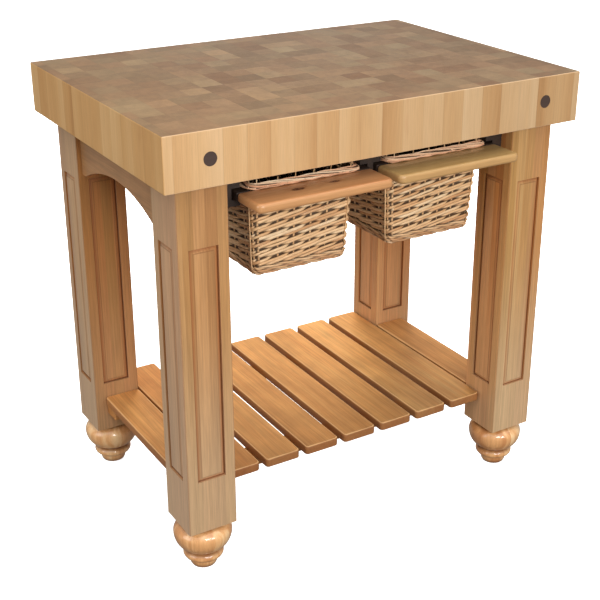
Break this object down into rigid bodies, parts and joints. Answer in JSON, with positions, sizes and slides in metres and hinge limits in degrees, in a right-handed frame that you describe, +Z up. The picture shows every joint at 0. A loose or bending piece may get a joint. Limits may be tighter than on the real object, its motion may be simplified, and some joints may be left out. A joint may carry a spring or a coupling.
{
  "type": "butcher block table",
  "caption": "Butcher block table with a thick end-grain top, panelled legs on bun feet, a slatted shelf and wicker baskets that slide out on wooden trays.",
  "frame": {"origin": "on the floor, under the middle of the whole footprint at rest, which takes in the baskets' front boards; the top's middle is 13.75 mm behind it", "axes": "+Z up, -Y towards the front, where the baskets pull out, +X to the right of someone facing the front"},
  "size_m": [0.9144, 0.6626, 0.9144],
  "materials": {
    "end_grain_maple": "oiled end grain, satin",
    "maple": "oiled, satin",
    "shelf_maple": "oiled, satin",
    "glossy_maple": "lacquered, gloss",
    "walnut": "satin",
    "pine": "lacquered, semi-gloss",
    "wicker": "woven, matt",
    "steel": "zinc plated"
  },
  "bodies": {
    "table": {"butcher_block": "end_grain_maple", "tie_rod_left": "steel", "tie_rod_right": "steel", "rod_nut_front_left": "steel", "bolt_plug_front_left": "walnut", "rod_nut_front_right": "steel", "bolt_plug_front_right": "walnut", "rod_nut_back_left": "steel", "bolt_plug_back_left": "walnut", "rod_nut_back_right": "steel", "bolt_plug_back_right": "walnut", "leg_front_left": "maple", "leg_bolt_front_left": "steel", "foot_stud_front_left": "steel", "foot_front_left": "glossy_maple", "leg_front_right": "maple", "leg_bolt_front_right": "steel", "foot_stud_front_right": "steel", "foot_front_right": "glossy_maple", "leg_back_left": "maple", "leg_bolt_back_left": "steel", "foot_stud_back_left": "steel", "foot_back_left": "glossy_maple", "leg_back_right": "maple", "leg_bolt_back_right": "steel", "foot_stud_back_right": "steel", "foot_back_right": "glossy_maple", "side_apron_left": "maple", "side_apron_right": "maple", "back_apron": "maple", "runner_left": "maple", "runner_centre": "maple", "runner_right": "maple", "shelf_slat_1": "shelf_maple", "shelf_slat_2": "shelf_maple", "shelf_slat_3": "shelf_maple", "shelf_slat_4": "shelf_maple", "shelf_slat_5": "shelf_maple", "shelf_slat_6": "shelf_maple", "shelf_slat_7": "shelf_maple", "shelf_slat_8": "shelf_maple", "shelf_slat_9": "shelf_maple", "shelf_batten_front": "shelf_maple", "shelf_batten_rear": "shelf_maple"},
    "left_basket": {"left_basket_front_board": "pine", "left_basket_left_rail": "pine", "left_basket_right_rail": "pine", "left_basket_back_rail": "pine", "left_basket_wicker": "wicker"},
    "right_basket": {"right_basket_front_board": "pine", "right_basket_left_rail": "pine", "right_basket_right_rail": "pine", "right_basket_back_rail": "pine", "right_basket_wicker": "wicker"}
  },
  "joints": [
    {"name": "left_basket_slide", "type": "slide", "parent": "table", "child": "left_basket", "axis": [0, -1, 0], "range_m": [-0.0615, 0.2785]},
    {"name": "right_basket_slide", "type": "slide", "parent": "table", "child": "right_basket", "axis": [0, -1, 0], "range_m": [-0.0555, 0.2845]}
  ]
}
